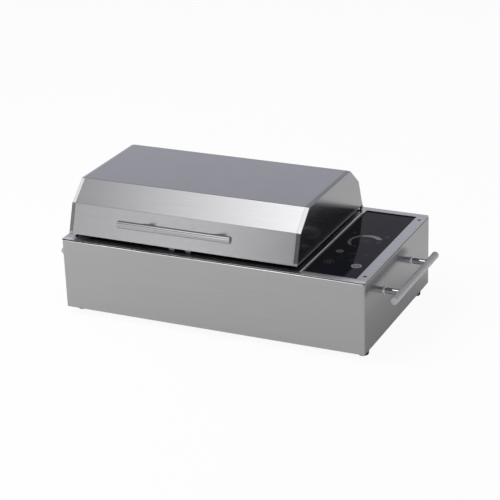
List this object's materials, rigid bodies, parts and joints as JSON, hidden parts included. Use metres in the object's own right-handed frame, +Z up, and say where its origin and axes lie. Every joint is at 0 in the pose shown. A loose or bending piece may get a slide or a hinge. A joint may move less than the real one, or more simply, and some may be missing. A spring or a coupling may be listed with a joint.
{
  "type": "electric table grill",
  "caption": "Electric table grill: deep rectangular steel housing with side bar handles, faceted hinged lid with a bar handle, ribbed lift-out grate and a black glass touch panel.",
  "frame": {"origin": "middle of the footprint box, at the height of the rubber feet's undersides", "axes": "+X to the right towards the touch panel, +Y to the back towards the lid's hinge, +Z up"},
  "size_m": [0.6034, 0.3318, 0.2212],
  "materials": {
    "housing_steel": "brushed along the housing's length",
    "frame_steel": "brushed",
    "lid_steel": "brushed along the lid's length",
    "handle_steel": "satin",
    "post_chrome": "polished",
    "screw_steel": "plain",
    "dark_screw": "dark oxide",
    "panel_glass": "black backed, polished",
    "black_rubber": "matt",
    "grate_coating": "non-stick coating, satin",
    "well_steel": "satin, slightly heat-stained",
    "element_tube": "heat-stained sheath",
    "tray_metal": "satin",
    "plated_sheet": "zinc plated",
    "ceramic_white": "ceramic bush",
    "brass_metal": "plain",
    "black_plastic": "moulded",
    "terminal_plastic": "moulded",
    "board_green": "lacquered board",
    "coil_metal": "varnished core",
    "can_metal": "sleeved can",
    "key_pads": "conductive foam",
    "wire_cover": "heat-proof sleeve"
  },
  "bodies": {
    "root": {"base_nuts": "screw_steel", "base_plate": "plated_sheet", "base_screws": "screw_steel", "board_standoffs": "screw_steel", "board_terminals": "terminal_plastic", "capacitors": "can_metal", "carrier_screws": "screw_steel", "control_glass": "panel_glass", "cook_well": "well_steel", "cord_gland": "black_plastic", "display_module": "black_plastic", "drip_tray": "tray_metal", "earth_stud": "brass_metal", "element_supports": "well_steel", "element_terminals": "brass_metal", "element_wires": "wire_cover", "feet": "black_rubber", "foot_screws": "screw_steel", "frame_nuts": "screw_steel", "frame_screws": "dark_screw", "gland_nut": "screw_steel", "glass_seal": "black_rubber", "heat_shield": "plated_sheet", "heating_element": "element_tube", "hinge_pins": "frame_steel", "hinge_tabs": "dark_screw", "housing_back": "housing_steel", "housing_front": "housing_steel", "housing_left": "housing_steel", "housing_right": "housing_steel", "left_handle_bar": "handle_steel", "left_handle_posts": "post_chrome", "left_handle_screws": "screw_steel", "mains_wires": "wire_cover", "panel_carrier": "black_plastic", "power_board": "board_green", "relays": "black_plastic", "ribbon_cable": "wire_cover", "right_handle_bar": "handle_steel", "right_handle_posts": "post_chrome", "right_handle_screws": "screw_steel", "seam_gasket": "black_rubber", "temperature_sensor": "element_tube", "terminal_block": "terminal_plastic", "thermal_limiter": "black_plastic", "top_frame": "frame_steel", "touch_board": "board_green", "touch_keys": "key_pads", "transformer": "coil_metal", "underfloor_shield": "plated_sheet", "well_bushes": "ceramic_white"},
    "lid": {"lid_shell": "lid_steel", "lid_cap_right": "lid_steel", "lid_cap_left": "lid_steel", "lid_handle_bar": "handle_steel", "lid_handle_posts": "post_chrome", "lid_handle_screws": "screw_steel", "lid_rest_tabs": "lid_steel", "lid_rest_feet": "black_rubber"},
    "grate": {"grate": "grate_coating"}
  },
  "joints": [
    {"name": "lid_hinge", "type": "hinge", "parent": "root", "child": "lid", "pos_m": [0, 0.13912, 0.1392], "axis": [-1, 0, 0], "range_deg": [0, 100]},
    {"name": "grate_lift", "type": "slide", "parent": "root", "child": "grate", "axis": [0, 0, 1], "range_m": [0, 0.017]}
  ]
}
